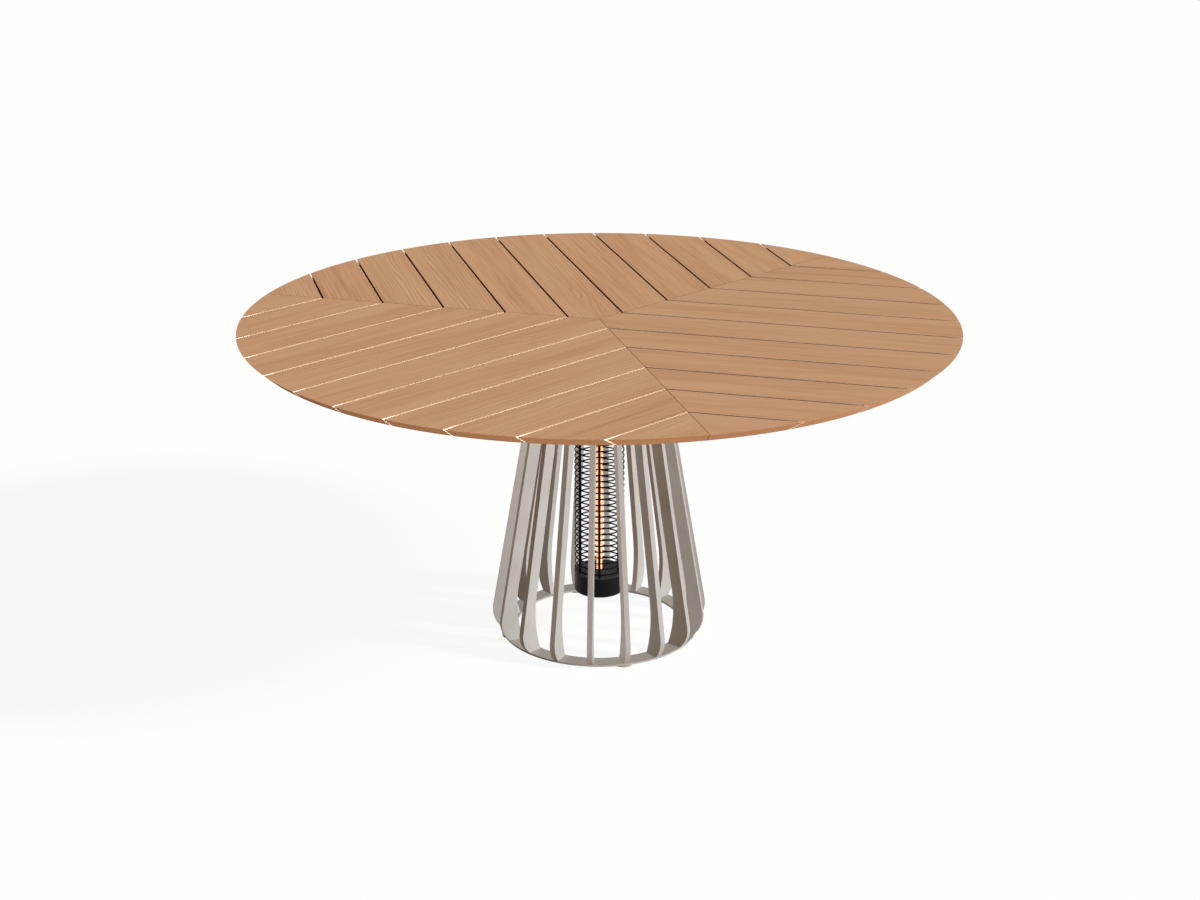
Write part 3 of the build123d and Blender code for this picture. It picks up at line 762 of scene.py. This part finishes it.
class TABLE_OT_stage(bpy.types.Operator):
    """Sets the pale floor, the studio lights and the photograph's camera"""

    bl_idname = "table.stage"
    bl_label = "Stage"

    def execute(self, context):
        scene = context.scene
        scene.view_settings.view_transform = "Standard"
        floor = self.make_floor()
        self.make_world(scene)
        slats = [node for name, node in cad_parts.items() if name.startswith("slat_")]
        # the key rakes over the top alone, as if a flag kept it off the pedestal
        key = self.make_sun("key_lamp", azimuth=346, elevation=31, strength=5.2)
        key.light_linking.receiver_collection = self.group("key_lit", slats + [floor])
        # the fill comes from low on the right, and a weaker one from behind on the left;
        # both are kept off the slats and are too wide to throw shadows
        fill = self.make_sun("low_fill", azimuth=331, elevation=21, strength=3.5, colour="#F5FAFF")
        back_fill = self.make_sun(
            "back_fill", azimuth=120, elevation=3, strength=1.9, colour="#FFFBF6"
        )
        unlit = self.group("fill_unlit", slats + [floor])
        for member in unlit.collection_objects:
            member.light_linking.link_state = "EXCLUDE"
        for lamp in (fill, back_fill):
            lamp.data.use_shadow = False
            lamp.light_linking.receiver_collection = unlit
        # a reflector near the floor lights the bevel of the rim from in front
        reflector = self.make_sun(
            "rim_reflector", azimuth=310, elevation=-9, strength=1.8, colour="#FFFAF5"
        )
        reflector.light_linking.receiver_collection = self.group("rim_lit", slats)
        reflector.light_linking.blocker_collection = self.group("rim_blockers", slats)
        self.make_camera(scene)
        return {"FINISHED"}

    def make_floor(self):
        """A wide pale sheet that looks white to the camera and keeps a soft shadow."""
        material, tree, shader = new_material("white_paper", "#F4F3F1", 0.9)
        path = add(tree, "ShaderNodeLightPath")
        seen = path.outputs["Is Camera Ray"]
        for ray in ("Is Glossy Ray", "Is Transmission Ray"):
            seen = add(
                tree, "ShaderNodeMath", {0: seen, 1: path.outputs[ray]}, operation="MAXIMUM"
            ).outputs[0]
        # what is left of the sheet's own shading shows the shadow
        white_share = add(
            tree, "ShaderNodeMath", {0: seen, 1: FLOOR_WHITE}, operation="MULTIPLY"
        ).outputs[0]
        # the sheet throws a warm, weaker light back up than a white one would
        tint = add(
            tree, "ShaderNodeMix",
            {"Factor": seen, "A": linear("#AE9780"), "B": linear("#F4F3F1")},
            data_type="RGBA",
        ).outputs["Result"]
        tree.links.new(tint, shader.inputs["Base Color"])
        white = add(
            tree, "ShaderNodeEmission", {"Color": linear("#FFFFFF"), "Strength": 1.0}
        ).outputs["Emission"]
        surface = add(
            tree, "ShaderNodeMixShader", {0: white_share, 1: shader.outputs["BSDF"], 2: white}
        ).outputs["Shader"]
        tree.links.new(surface, tree.nodes["Material Output"].inputs["Surface"])
        bm = bmesh.new()
        corners = ((-1, -1, 0), (1, -1, 0), (1, 1, 0), (-1, 1, 0))
        bm.faces.new([bm.verts.new(Vector(corner) * FLOOR_REACH) for corner in corners])
        floor = mesh_object("floor", bm, material)
        return floor

    def group(self, name, members):
        """A collection for a lamp's links."""
        collection = bpy.data.collections.new(name)
        for member in members:
            collection.objects.link(member)
        return collection

    def make_world(self, scene):
        """Dim warm surroundings, white where the camera sees them or sees through glass."""
        world = bpy.data.worlds.new("studio")
        scene.world = world
        world.use_nodes = True
        tree = world.node_tree
        path = add(tree, "ShaderNodeLightPath")
        seen = add(
            tree, "ShaderNodeMath",
            {0: path.outputs["Is Camera Ray"], 1: path.outputs["Is Transmission Ray"]},
            operation="MAXIMUM",
        ).outputs[0]
        strength = add(
            tree, "ShaderNodeMapRange", {"Value": seen, "To Min": WORLD_STRENGTH, "To Max": 1.0}
        ).outputs["Result"]
        tint = add(
            tree, "ShaderNodeMix",
            {"Factor": seen, "A": linear("#FFF1E2"), "B": linear("#FFFFFF")},
            data_type="RGBA",
        ).outputs["Result"]
        background = tree.nodes["Background"]
        tree.links.new(tint, background.inputs["Color"])
        tree.links.new(strength, background.inputs["Strength"])

    def make_sun(self, name, azimuth, elevation, strength, colour="#FFFFFF", spread=8):
        """A far soft source from a bearing, so that the whole scene is lit evenly."""
        sun = bpy.data.lights.new(name, "SUN")
        sun.angle = math.radians(spread)
        sun.energy = strength
        sun.color = linear(colour)[:3]
        holder = bpy.data.objects.new(name, sun)
        bpy.context.collection.objects.link(holder)
        turn, rise = math.radians(azimuth), math.radians(elevation)
        towards_lamp = Vector((
            math.cos(rise) * math.cos(turn), math.cos(rise) * math.sin(turn), math.sin(rise)
        ))
        holder.location = towards_lamp * LAMP_DISTANCE
        holder.rotation_mode = "QUATERNION"
        holder.rotation_quaternion = (-towards_lamp).to_track_quat("-Z", "Y")
        return holder

    def make_camera(self, scene):
        """The photograph's viewpoint."""
        camera = bpy.data.cameras.new("camera")
        camera.lens = CAMERA_LENS
        camera.sensor_width = CAMERA_SENSOR
        holder = bpy.data.objects.new("camera", camera)
        bpy.context.collection.objects.link(holder)
        holder.location = CAMERA_PLACE
        holder.rotation_euler = (
            math.radians(90 - CAMERA_PITCH_DOWN), math.radians(CAMERA_ROLL), 0
        )
        scene.camera = holder


class TABLE_PT_panel(bpy.types.Panel):
    """Lists the table's pieces and their colours"""

    bl_idname = "TABLE_PT_panel"
    bl_label = "Outdoor Dining Table"
    bl_space_type = "VIEW_3D"
    bl_region_type = "UI"
    bl_category = "Table"

    def draw(self, context):
        look = context.scene.table_look
        for name in TableLook.__annotations__:
            self.layout.prop(look, name)
        for operator in OPERATORS:
            self.layout.operator(operator.bl_idname)


OPERATORS = (
    TABLE_OT_slats,
    TABLE_OT_metalwork,
    TABLE_OT_screws,
    TABLE_OT_housing,
    TABLE_OT_guard,
    TABLE_OT_lamp,
    TABLE_OT_stage,
)
CLASSES = (TableLook, *OPERATORS, TABLE_PT_panel)


def register():
    for each in CLASSES:
        bpy.utils.register_class(each)
    bpy.types.Scene.table_look = bpy.props.PointerProperty(type=TableLook)


def unregister():
    del bpy.types.Scene.table_look
    for each in reversed(CLASSES):
        bpy.utils.unregister_class(each)


def main():
    """Makes every piece in order."""
    register()
    bpy.ops.table.slats()
    bpy.ops.table.metalwork()
    bpy.ops.table.screws()
    bpy.ops.table.housing()
    bpy.ops.table.guard()
    bpy.ops.table.lamp()
    bpy.ops.table.stage()


if __name__ == "__main__":
    main()
